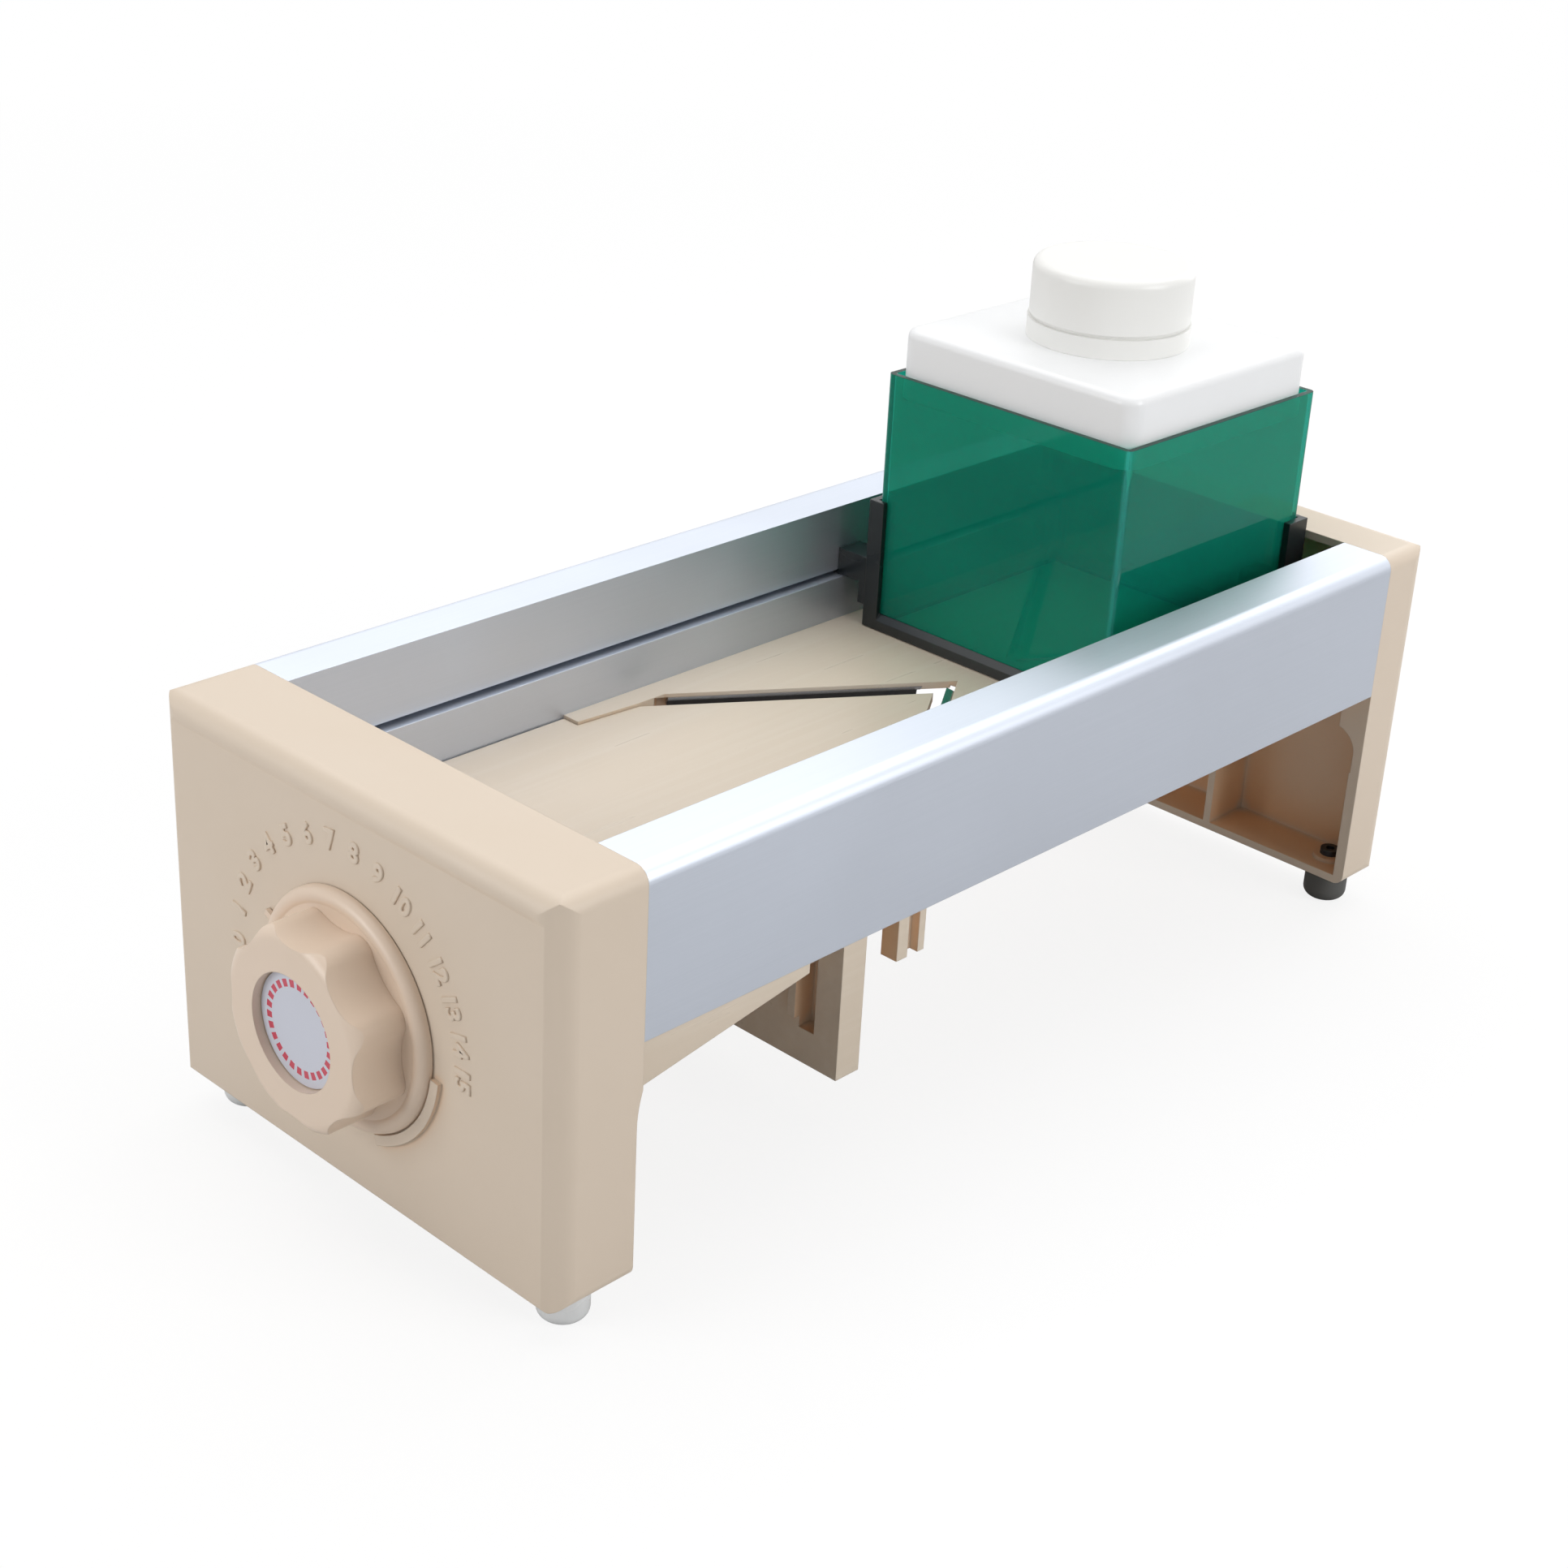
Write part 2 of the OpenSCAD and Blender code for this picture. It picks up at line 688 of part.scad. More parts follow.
// One blade: a sloping strip with a ground edge, trimmed clear of the side lug
module blade(side) {
    t = blade_tilt;
    v1 = edge_v + blade_w * cos(t);
    color(steel)
        difference() {
            on_vee(side)
                along_x(blade_start(side), blade_len1)
                    polygon([[edge_v, blade_top(edge_v)], [v1, blade_top(v1)],
                        [v1 - blade_t * sin(t), blade_top(v1) - blade_t * cos(t)],
                        [edge_v + 2.6, blade_top(edge_v + 2.6) - blade_t / cos(t)]]);
            blade_holes(side, 1.7, 6, 6);
            both_sides()
                block([slot_end + 0.1, half_w], [vee_y - body_w, vee_y], [bed_z - 30, bed_z + 5]);
        }
}

module blade_left() {
    blade(-1);
}

module blade_right() {
    blade(1);
}

// Bar that holds a blade up against its seat
module blade_clamp(side) {
    t = blade_tilt;
    drop = blade_t / cos(t) + 0.02;
    color(dark)
        difference() {
            on_vee(side)
                along_x(blade_len0 + 1, blade_len1)
                    polygon([[edge_v + 3.2, blade_top(edge_v + 3.2) - drop],
                        [edge_v + blade_w, blade_top(edge_v + blade_w) - drop],
                        [edge_v + blade_w, blade_top(edge_v + blade_w) - drop - 3.2],
                        [edge_v + 4.4, blade_top(edge_v + 4.4) - drop - 3.2]]);
            blade_holes(side, 1.7, 9, 6);
            both_sides()
                block([slot_end + 0.1, half_w], [vee_y - body_w, vee_y], [bed_z - 30, bed_z + 5]);
        }
}

module blade_clamp_left() {
    blade_clamp(-1);
}

module blade_clamp_right() {
    blade_clamp(1);
}

module blade_screws() {
    under = blade_t + 0.02 + 3.2 * cos(blade_tilt);
    color(steel)
        for (side = [-1, 1]) {
            blade_holes(side, 1.5, under + 0.5, 2.3);
            difference() {
                blade_holes(side, 2.8, under + 1.8, -under);
                blade_holes(side, 1.3, under + 3, -under - 0.8);
            }
        }
}

module table_screws() {
    color(steel)
        both_sides()
            for (y = table_screw_y)
                translate([strip_in - 3, y, bed_z - 7])
                    rotate([0, 90, 0]) {
                        difference() {
                            translate([0, 0, -1.8])
                                cylinder(r = 2.8, h = 1.8);
                            translate([0, 0, -2])
                                cylinder(r = 1.2, h = 1.2);
                        }
                        cylinder(r = 1.5, h = 6.5);
                    }
}

module rail_screws() {
    color(steel)
        both_sides()
            for (y = [yf + 9, yr - 9])
                translate([half_w - 10, y, rail_z]) {
                    cylinder(r = 1.5, h = 12);
                    difference() {
                        translate([0, 0, -2])
                            cylinder(r = 3, h = 2);
                        translate([0, 0, -3])
                            cylinder(r = 1.3, h = 2.2);
                    }
                }
}

// Outline of the dial knob: eight round lobes that run into eight hollow flanks
module lobed_outline() {
    lobe = 6;
    hollow = 22.5;
    k = knob_r / 31.2;
    scale([k, k]) {
        difference() {
            circle(r = 29.9);
            for (a = [0 : 7])
                rotate([0, 0, 45 * a + 22.5])
                    translate([27.6 + hollow, 0])
                        circle(r = hollow);
        }
        for (a = [0 : 7])
            rotate([0, 0, 45 * a])
                translate([31.2 - lobe, 0])
                    circle(r = lobe);
    }
}

// Turns a piece of the dial from setting nought to the setting it stands at
module dial_turned() {
    translate([0, 0, dial_z])
        rotate([0, setting * step_deg, 0])
            children();
}

module dial_knob() {
    r = knob_r + 0.2;
    f = 4.5;
    color(beige)
        dial_turned()
            translate([0, knob_y, 0])
                rotate([90, 0, 0])
                    difference() {
                        intersection() {
                            linear_extrude(height = knob_l)
                                lobed_outline();
                            rotate_extrude() {
                                square([r, knob_l - f]);
                                square([r - f, knob_l]);
                                translate([r - f, knob_l - f])
                                    circle(r = f);
                            }
                        }
                        // Seat of the badge, then the pocket of the screw head
                        translate([0, 0, knob_l - 3.8])
                            cylinder(r = badge_r + 0.4, h = 5);
                        translate([0, 0, knob_l - 6.4])
                            cylinder(r = 5, h = 5);
                        translate([0, 0, knob_l - 9.4])
                            cylinder(r = 2.2, h = 5);
                        difference() {
                            translate([0, 0, -1])
                                cylinder(r = shaft_r + fit, h = knob_l - 8.4);
                            translate([shaft_r - 1 + fit, -shaft_r - 1, -2])
                                cube([4, 2 * shaft_r + 2, knob_l]);
                        }
                        // Hollow back of the knob
                        difference() {
                            translate([0, 0, -1])
                                cylinder(r = 24.5, h = knob_l - 6);
                            translate([0, 0, -2])
                                cylinder(r = 9, h = knob_l);
                            for (a = [0 : 3])
                                rotate([0, 0, 90 * a])
                                    translate([0, -1.25, -2])
                                        cube([knob_r, 2.5, knob_l]);
                        }
                    }
}

module dial_badge() {
    color([0.76, 0.77, 0.81])
        dial_turned()
            translate([0, knob_y - knob_l + 3.8, 0])
                rotate([90, 0, 0])
                    cylinder(r = badge_r, h = 0.8);
}

module knob_screw() {
    color(steel)
        dial_turned()
            translate([0, knob_y - knob_l + 9.4 - 3, 0])
                rotate([90, 0, 0]) {
                    difference() {
                        cylinder(r = 4, h = 2.4);
                        translate([0, 0, 1])
                            cylinder(r = 1.6, h = 2);
                    }
                    translate([0, 0, -12])
                        cylinder(r = 2, h = 12.1);
                }
}

module dial_skirt() {
    b = 6;
    color(beige)
        dial_turned()
            translate([0, skirt_y, 0])
                rotate([90, 0, 0]) {
                    difference() {
                        union() {
                            cylinder(r = skirt_r - b / 2, h = skirt_t);
                            rotate_extrude() {
                                translate([skirt_r - b, 0])
                                    square([b, 1]);
                                translate([skirt_r - b / 2, 0.9])
                                    intersection() {
                                        circle(r = b / 2);
                                        translate([-b, 0])
                                            square([2 * b, b]);
                                    }
                            }
                            // Pointer nib, at nine o'clock when the dial is at nought
                            translate([-skirt_r - 3.2, -1.1, 0])
                                cube([5.2, 2.2, 1.5]);
                        }
                        translate([0, 0, -1])
                            difference() {
                                cylinder(r = shaft_r + fit, h = 5);
                                translate([shaft_r - 1 + fit, -shaft_r - 1, -1])
                                    cube([4, 2 * shaft_r + 2, 8]);
                            }
                    }
                }
}

// Shaft with a flat at each end, tapped for the knob screw and threaded for the cam nut
module dial_shaft() {
    color(steel)
        dial_turned()
            difference() {
                pin_y(0, 0, knob_y - knob_l + 9.4, cam_y1 + 8, shaft_r);
                translate([0, knob_y - knob_l + 20, 0])
                    rotate([90, 0, 0])
                        cylinder(r = 2 + fit, h = 14);
                block([shaft_r - 1, shaft_r + 2], [knob_y - knob_l, y0 + 0.2], [-10, 10]);
                block([shaft_r - 1, shaft_r + 2], [cam_y0, cam_y1], [-10, 10]);
            }
}

module shaft_bush() {
    color([0.72, 0.6, 0.35])
        difference() {
            union() {
                pin_y(0, dial_z, y0, y0 + 8, 8);
                pin_y(0, dial_z, y0 + 7, y0 + 8.1, 10.5);
            }
            pin_y(0, dial_z, y0 - 1, y0 + 9, shaft_r + run);
        }
}

module thrust_washer() {
    color(steel)
        dial_turned()
            difference() {
                pin_y(0, 0, cam_y0 - 0.6, cam_y0, 9);
                pin_y(0, 0, cam_y0 - 1, cam_y0 + 1, shaft_r + fit);
            }
}

// Radius of the cam slot a degrees round from nought
function cam_r(a) = cam_r0 - step_drop / step_deg * a;
function cam_p(a) = [cam_r(a) * cos(90 + a), cam_r(a) * sin(90 + a)];
// Middle of the circle through three points
function mid_x(p, q, r) =
    ((p[0] * p[0] + p[1] * p[1]) * (q[1] - r[1]) + (q[0] * q[0] + q[1] * q[1]) * (r[1] - p[1])
    + (r[0] * r[0] + r[1] * r[1]) * (p[1] - q[1]))
    / (2 * (p[0] * (q[1] - r[1]) + q[0] * (r[1] - p[1]) + r[0] * (p[1] - q[1])));
function mid_y(p, q, r) =
    ((p[0] * p[0] + p[1] * p[1]) * (r[0] - q[0]) + (q[0] * q[0] + q[1] * q[1]) * (p[0] - r[0])
    + (r[0] * r[0] + r[1] * r[1]) * (q[0] - p[0]))
    / (2 * (p[0] * (q[1] - r[1]) + q[0] * (r[1] - p[1]) + r[0] * (p[1] - q[1])));

// One eighth turn of the spiral slot, as a true arc through three points of the spiral
module cam_arc(a, sweep, w) {
    p = cam_p(a);
    q = cam_p(a + sweep / 2);
    s = cam_p(a + sweep);
    c = [mid_x(p, q, s), mid_y(p, q, s)];
    r = norm(p - c);
    far = 60;
    intersection() {
        translate([c[0], c[1], -1])
            difference() {
                cylinder(r = r + w, h = 8);
                translate([0, 0, -1])
                    cylinder(r = r - w, h = 10);
            }
        translate([0, 0, -2])
            linear_extrude(height = 10)
                polygon([c, c + far * (p - c) / r, c + far * (q - c) / r * 1.2, c + far * (s - c) / r]);
    }
}

module cam_disc() {
    w = pin_r + gap;
    full = dial_steps * step_deg;
    color([0.82, 0.82, 0.8])
        dial_turned()
            translate([0, cam_y1, 0])
                rotate([90, 0, 0])
                    difference() {
                        cylinder(r = cam_r0 + 7, h = cam_y1 - cam_y0);
                        for (i = [0 : 3])
                            cam_arc(i * full / 4, full / 4, w);
                        for (a = [0, full])
                            translate([cam_p(a)[0], cam_p(a)[1], -1])
                                cylinder(r = w + 0.2, h = 8);
                        translate([0, 0, -1])
                            difference() {
                                cylinder(r = shaft_r + fit, h = 8);
                                translate([shaft_r - 1 + fit, -shaft_r - 1, -1])
                                    cube([4, 2 * shaft_r + 2, 12]);
                            }
                        // Lightening pocket on the plain side
                        for (a = [-50, 0, 50])
                            rotate([0, 0, a])
                                translate([19, 0, -1])
                                    cylinder(r = 5, h = 8);
                    }
}

module cam_nut() {
    k = 7.3;
    color(steel)
        dial_turned()
            difference() {
                translate([0, cam_y1 + 6, 0])
                    rotate([90, 0, 0])
                        linear_extrude(height = 6)
                            polygon([for (i = [0 : 5]) [k * cos(60 * i), k * sin(60 * i)]]);
                pin_y(0, 0, cam_y1 - 1, cam_y1 + 7, shaft_r + fit);
            }
}

// Corner post of the carriage, in the front right corner as drawn
module corner_post(h) {
    difference() {
        block([hop_half - 4, side_half], [-car_half, -car_half + post_l], [0, h]);
        block([-hop_half - fit, hop_half + fit], [-hop_half - fit, hop_half + fit], [-1, h + 1]);
        translate([hop_half + 0.6, -car_half + post_l / 2, groove_z + gap - 4 - car_z])
            rotate([0, 90, 0])
                cylinder(r = 1.5 + fit, h = 4);
    }
}

module carriage_frame() {
    short_h = strip_up + 10.2;
    color(dark)
        translate([0, hop_y, car_z]) {
            difference() {
                block([-side_half, side_half], [-car_half, car_half], [0, bar_h]);
                block([-hop_half - fit, hop_half + fit], [-hop_half - fit, hop_half + fit],
                    [box_z - car_z, bar_h + 1]);
                block([-hop_half + hop_wall, hop_half - hop_wall],
                    [-hop_half + hop_wall, hop_half - hop_wall], [-1, bar_h + 1]);
                // Sloping top of the front and back bars
                for (s = [0, 1])
                    mirror([0, s, 0])
                        along_x(-side_half - 1, side_half + 1)
                            polygon([[-car_half - 1, bar_h - 2.4], [-car_half, bar_h - 2.4],
                                [-hop_half - 0.4, bar_h], [-hop_half - 0.4, bar_h + 1],
                                [-car_half - 1, bar_h + 1]]);
            }
            mirror([1, 0, 0])
                corner_post(post_h - 0.4);
            mirror([0, 1, 0])
                corner_post(post_h - 0.4);
            corner_post(short_h);
            mirror([1, 0, 0])
                mirror([0, 1, 0])
                    corner_post(short_h);
        }
}

// Shoes that run in the rail grooves, one on the outside of each corner post
module slide_shoes() {
    za = groove_z + gap;
    zb = groove_z + groove_h - gap;
    color(dark)
        both_sides()
            for (y = [hop_y - car_half, hop_y + car_half - post_l])
                difference() {
                    union() {
                        block([side_half, rail_in - gap], [y, y + post_l], [za, za + 10]);
                        block([rail_in - gap - 0.01, groove_in - gap], [y, y + post_l], [za, zb]);
                        block([side_half, side_half + 3], [y, y + post_l], [za - 8, za + 10]);
                    }
                    translate([side_half - 1, y + post_l / 2, za - 4])
                        rotate([0, 90, 0])
                            cylinder(r = 1.6, h = 6);
                }
}

module shoe_screws() {
    za = groove_z + gap;
    shank = side_half - hop_half + 2.2;
    color(steel)
        both_sides()
            for (y = [hop_y - car_half, hop_y + car_half - post_l])
                translate([side_half + 3, y + post_l / 2, za - 4])
                    rotate([0, 90, 0]) {
                        difference() {
                            cylinder(r = 2.5, h = 1.6);
                            translate([0, 0, 0.8])
                                cylinder(r = 1.1, h = 1);
                        }
                        translate([0, 0, -shank])
                            cylinder(r = 1.5, h = shank);
                    }
}

module hopper_box() {
    h = hop_z - box_z;
    color(green, 0.8)
        translate([0, hop_y, box_z])
            difference() {
                linear_extrude(height = h)
                    round_square(hop_half, 2.4);
                translate([0, 0, -1])
                    linear_extrude(height = h + 2)
                        round_square(hop_half - hop_wall, 0.8);
            }
}

// Side view of the tray about its middle, with soft top corners
module tray_profile(e) {
    translate([-lid_half, 0])
        square([2 * lid_half, lid_h - e]);
    translate([-lid_half + e, 0])
        square([2 * lid_half - 2 * e, lid_h]);
    for (s = [-1, 1])
        translate([s * (lid_half - e), lid_h - e])
            circle(r = e);
}

// Outside of the tray: two bars of the side view that cross, and a turned piece in each corner
module tray_body(e) {
    c = lid_half - lid_r;
    along_x(-c, c)
        tray_profile(e);
    along_y(-c, c)
        tray_profile(e);
    for (sx = [-1, 1], sy = [-1, 1])
        translate([sx * c, sy * c, 0])
            rotate_extrude() {
                square([lid_r, lid_h - e]);
                square([lid_r - e, lid_h]);
                translate([lid_r - e, lid_h - e])
                    circle(r = e);
            }
}

module pusher_tray() {
    color(white)
        translate([0, hop_y, lid_z])
            difference() {
                tray_body(3);
                // Hollow underside, with a cross of ribs and a boss in the middle
                translate([0, 0, -1])
                    linear_extrude(height = lid_h - 2)
                        difference() {
                            round_square(lid_half - 2.6, lid_r - 2.6);
                            circle(r = 9);
                            for (k = [-1.5 : 1 : 1.5]) {
                                translate([k * lid_half * 0.4, 0])
                                    square([1.8, 2 * lid_half], center = true);
                                translate([0, k * lid_half * 0.4])
                                    square([2 * lid_half, 1.8], center = true);
                            }
                        }
                // Hole for the screw that holds the knob, with room for its head
                translate([0, 0, -1])
                    cylinder(r = 5, h = lid_h - 5);
                cylinder(r = 2.2, h = lid_h + 1);
            }
}

module pusher_grip() {
    r = grip_d / 2;
    color(white)
        translate([0, hop_y, lid_z + lid_h])
            difference() {
                rotate_extrude() {
                    square([r + 0.5, grip_foot]);
                    translate([0, grip_foot])
                        square([r - 0.6, 1]);
                    translate([0, grip_foot + 1])
                        square([r, grip_h - grip_foot - 4]);
                    square([r - 3, grip_h]);
                    translate([r - 3, grip_h - 3])
                        circle(r = 3);
                }
                // Hollow underside round the screw boss
                difference() {
                    translate([0, 0, -1])
                        cylinder(r = r - 3, h = grip_h - 2);
                    translate([0, 0, -2])
                        cylinder(r = 6, h = grip_h + 4);
                    for (k = [0 : 2])
                        rotate([0, 0, 120 * k])
                            translate([0, -1.2, -2])
                                cube([r, 2.4, grip_h]);
                }
                translate([0, 0, -1])
                    cylinder(r = 2 + fit, h = 14);
            }
}

module grip_screw() {
    color(steel)
        translate([0, hop_y, lid_z + lid_h - 6]) {
            cylinder(r = 2, h = 18);
            difference() {
                translate([0, 0, -2.4])
                    cylinder(r = 4, h = 2.4);
                translate([0, 0, -3])
                    cylinder(r = 1.6, h = 2);
            }
        }
}

// One foot: a short round pad with a rolled lower edge
module foot(x, y) {
    r = foot_d / 2;
    translate([x, y, 0])
        difference() {
            rotate_extrude() {
                translate([0, foot_r])
                    square([r, foot_h - foot_r]);
                square([r - foot_r, foot_h]);
                translate([r - foot_r, foot_r])
                    circle(r = foot_r);
            }
            translate([0, 0, 2])
                cylinder(r = 2 + fit, h = foot_h);
        }
}

module front_feet() {
    color([0.86, 0.87, 0.87])
        for (s = [-1, 1])
            foot(s * (half_w - foot_in), y0 + front_d / 2);
}

module rear_feet() {
    color([0.33, 0.33, 0.33])
        for (s = [-1, 1])
            foot(s * (half_w - foot_in), y1 - rear_d / 2);
}

module foot_screws() {
    color(steel)
        for (s = [-1, 1])
            for (p = [[y0 + front_d / 2, z0 + wall + 2], [y1 - rear_d / 2, z0 + wall + 1.5]])
                translate([s * (half_w - foot_in), p[0], 0]) {
                    translate([0, 0, 3])
                        cylinder(r = 2, h = p[1] - 3);
                    difference() {
                        translate([0, 0, p[1]])
                            cylinder(r = 3.6, h = 2.2);
                        translate([0, 0, p[1] + 1])
                            cylinder(r = 1.6, h = 2);
                    }
                }
}

front_housing();
rear_housing();
rail_left();
rail_right();
rear_table();
slicing_plate();
follower_pin();
blade_left();
blade_right();
blade_clamp_left();
blade_clamp_right();
blade_screws();
table_screws();
rail_screws();
dial_knob();
dial_skirt();
dial_badge();
knob_screw();
dial_shaft();
shaft_bush();
thrust_washer();
cam_disc();
cam_nut();
carriage_frame();
slide_shoes();
shoe_screws();
hopper_box();
pusher_tray();
pusher_grip();
grip_screw();
front_feet();
rear_feet();
foot_screws();
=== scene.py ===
import math

import bpy
from mathutils import Matrix, Vector


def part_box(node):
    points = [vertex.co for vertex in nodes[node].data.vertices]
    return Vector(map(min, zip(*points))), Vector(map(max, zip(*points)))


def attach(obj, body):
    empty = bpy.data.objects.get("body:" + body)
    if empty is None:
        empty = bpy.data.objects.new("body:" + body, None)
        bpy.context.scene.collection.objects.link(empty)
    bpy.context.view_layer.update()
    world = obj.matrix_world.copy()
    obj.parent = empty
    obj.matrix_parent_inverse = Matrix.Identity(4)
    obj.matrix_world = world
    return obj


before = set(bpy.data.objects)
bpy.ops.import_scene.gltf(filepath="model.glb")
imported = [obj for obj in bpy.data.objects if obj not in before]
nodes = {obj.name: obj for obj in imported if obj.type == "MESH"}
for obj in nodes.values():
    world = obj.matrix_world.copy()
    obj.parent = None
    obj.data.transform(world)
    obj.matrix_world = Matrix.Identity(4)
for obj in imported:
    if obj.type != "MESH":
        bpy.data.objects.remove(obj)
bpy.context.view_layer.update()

mm = 0.001
MIDDLE = (0, 0, 0.1)

# The camera stands at the front right corner, a little above, with a slight roll
AZIMUTH, ELEVATION, ROLL = map(math.radians, (42.9298, 26.0204, 3.0588))
CAMERA_AT = Vector((0.54236, -0.60133, 0.47828))
LENS = 61.453
SENSOR = 36

# Where the world isn't seen it gives only this much of its light, and the lamps the rest
ROOM_LIGHT = 0.17
# Each lamp's place, the side of its square, and its watts
LAMPS = {
    "overhead": ((-0.3, 0.3, 1.6), 2.4, 27.4),
    "front left": ((-0.6, -1.7, 0.7), 1.0, 14),
    "right": ((1.7, 0.4, 0.8), 1.0, 16.3),
    "rear": ((-0.2, 2.0, 0.6), 1.2, 9),
}

# Raised numbers of the dial scale: one every 12 degrees, on a ring round the dial
LAST_NUMBER = 15
STEP = 12
NUMBER_RING = 52.3 * mm
RING_OFF_CENTRE = -1.6 * mm
NUMBER_SIZE = 8.6 * mm
NUMBER_DEPTH = 0.3 * mm
NUMBER_ROUNDING = 0.3 * mm
NUMBER_FATTENING = 0.15 * mm

# The printed ring of the badge: short dashes with gaps
DASHES = 26
DASH_SHARE = 0.62
PRINT_RING = 14.2 * mm
PRINT_HALF_WIDTH = 1.2 * mm


def camera_at_the_corner():
    """Makes the camera from its place, its two angles and its roll."""
    back = Vector((math.sin(AZIMUTH) * math.cos(ELEVATION),
                   -math.cos(AZIMUTH) * math.cos(ELEVATION), math.sin(ELEVATION)))
    level = Vector((math.cos(AZIMUTH), math.sin(AZIMUTH), 0))
    upright = back.cross(level)
    side = math.cos(ROLL) * level + math.sin(ROLL) * upright
    top = math.cos(ROLL) * upright - math.sin(ROLL) * level
    data = bpy.data.cameras.new("camera")
    data.lens = LENS
    data.sensor_width = SENSOR
    cam = bpy.data.objects.new("camera", data)
    turn = Matrix((side, top, back)).transposed()
    cam.matrix_world = Matrix.Translation(CAMERA_AT) @ turn.to_4x4()
    bpy.context.scene.collection.objects.link(cam)
    bpy.context.scene.camera = cam


def linear(code):
    """Linear colour of an sRGB hex code."""
    out = []
    for k in (1, 3, 5):
        c = int(code[k:k + 2], 16) / 255
        out.append(c / 12.92 if c <= 0.04045 else ((c + 0.055) / 1.055) ** 2.4)
    return (*out, 1.0)


def add(tree, kind, settings=None, **inputs):
    """Adds a node. An input is a value or the socket it is linked from; i6 means input 6."""
    made = tree.nodes.new(kind)
    for key, value in (settings or {}).items():
        setattr(made, key, value)
    for key, value in inputs.items():
        number = key[1:]
        socket = made.inputs[int(number) if number.isdigit() else key.replace("_", " ")]
        if isinstance(value, bpy.types.NodeSocket):
            tree.links.new(value, socket)
        else:
            socket.default_value = value
    return made


def blank(name):
    """An empty material and its node tree, with the place on the object as a socket."""
    made = bpy.data.materials.new(name)
    made.use_nodes = True
    made.node_tree.nodes.clear()
    place = add(made.node_tree, "ShaderNodeTexCoord").outputs["Object"]
    return made, made.node_tree, place


def moulded_plastic(name, light, dark, rough, grain, depth, rubbed=0.0, warm_hollow_shade=0.0):
    """Injection-moulded plastic: a fine etched grain, faint cloudy colour and soft edges."""
    made, tree, place = blank(name)
    # The melt leaves clouds some 40 mm wide that are just lighter and darker
    cloud = add(tree, "ShaderNodeTexNoise", Vector=place, Scale=1 / (40 * mm), Detail=3.0)
    tone = add(tree, "ShaderNodeMix", {"data_type": "RGBA"}, i0=cloud.outputs["Fac"],
               i6=linear(light), i7=linear(dark))
    patch = add(tree, "ShaderNodeMapRange", Value=cloud.outputs["Fac"], From_Min=0.3,
                From_Max=0.7, To_Min=rough - 0.05, To_Max=rough + 0.05)
    colour, gloss = tone.outputs[2], patch.outputs["Result"]
    if rubbed:
        # What slides along it leaves lanes some 4 mm wide and 150 mm long, paler and smoother
        size = add(tree, "ShaderNodeMapping", Vector=place,
                   Scale=(1 / (4 * mm), 1 / (150 * mm), 1 / (4 * mm)))
        lanes = add(tree, "ShaderNodeTexNoise", Vector=size.outputs["Vector"], Scale=1.0,
                    Detail=3.0)
        worn = add(tree, "ShaderNodeMapRange", Value=lanes.outputs["Fac"], From_Min=0.45,
                   From_Max=0.75, To_Min=0.0, To_Max=rubbed)
        paler = add(tree, "ShaderNodeMix", {"data_type": "RGBA"}, i0=worn.outputs["Result"],
                    i6=colour, i7=linear("#f4ebdd"))
        smoother = add(tree, "ShaderNodeMath", {"operation": "SUBTRACT"}, i0=gloss,
                       i1=worn.outputs["Result"])
        colour, gloss = paler.outputs[2], smoother.outputs[0]
    if warm_hollow_shade:
        # Painted warm shade: hollows up to 60 mm wide are painted browner, standing in for
        # light that soaks through the thin walls and comes out warmer, but not the fine
        # grooves and corners of less than 5 mm
        hollow = add(tree, "ShaderNodeAmbientOcclusion", {"samples": 4, "only_local": True},
                     Distance=60 * mm)
        painted_warm_shade = add(tree, "ShaderNodeMapRange", Value=hollow.outputs["AO"], From_Min=0.5,
                     From_Max=1.0, To_Min=warm_hollow_shade, To_Max=0.0)
        groove = add(tree, "ShaderNodeAmbientOcclusion", {"samples": 4, "only_local": True},
                     Distance=5 * mm)
        open_part = add(tree, "ShaderNodeMapRange", Value=groove.outputs["AO"], From_Min=0.5,
                        From_Max=0.8)
        spread = add(tree, "ShaderNodeMath", {"operation": "MULTIPLY"},
                     i0=painted_warm_shade.outputs["Result"], i1=open_part.outputs["Result"])
        warm_shaded = add(tree, "ShaderNodeMix", {"data_type": "RGBA"}, i0=spread.outputs[0],
                     i6=colour, i7=linear("#eeb478"))
        colour = warm_shaded.outputs[2]
    # The etched grain of the mould, drawn coarser than the real 0.1 mm so that it shows, on
    # edges that are never sharp: their shading turns over half a millimetre
    skin = add(tree, "ShaderNodeTexNoise", Vector=place, Scale=1 / grain, Detail=2.0)
    soft = add(tree, "ShaderNodeBevel", {"samples": 4}, Radius=0.5 * mm)
    pits = add(tree, "ShaderNodeBump", Strength=0.25, Distance=depth,
               Height=skin.outputs["Fac"], Normal=soft.outputs["Normal"])
    shader = add(tree, "ShaderNodeBsdfPrincipled", Base_Color=colour, IOR=1.53,
                 Roughness=gloss, Normal=pits.outputs["Normal"])
    add(tree, "ShaderNodeOutputMaterial", Surface=shader.outputs["BSDF"])
    return made


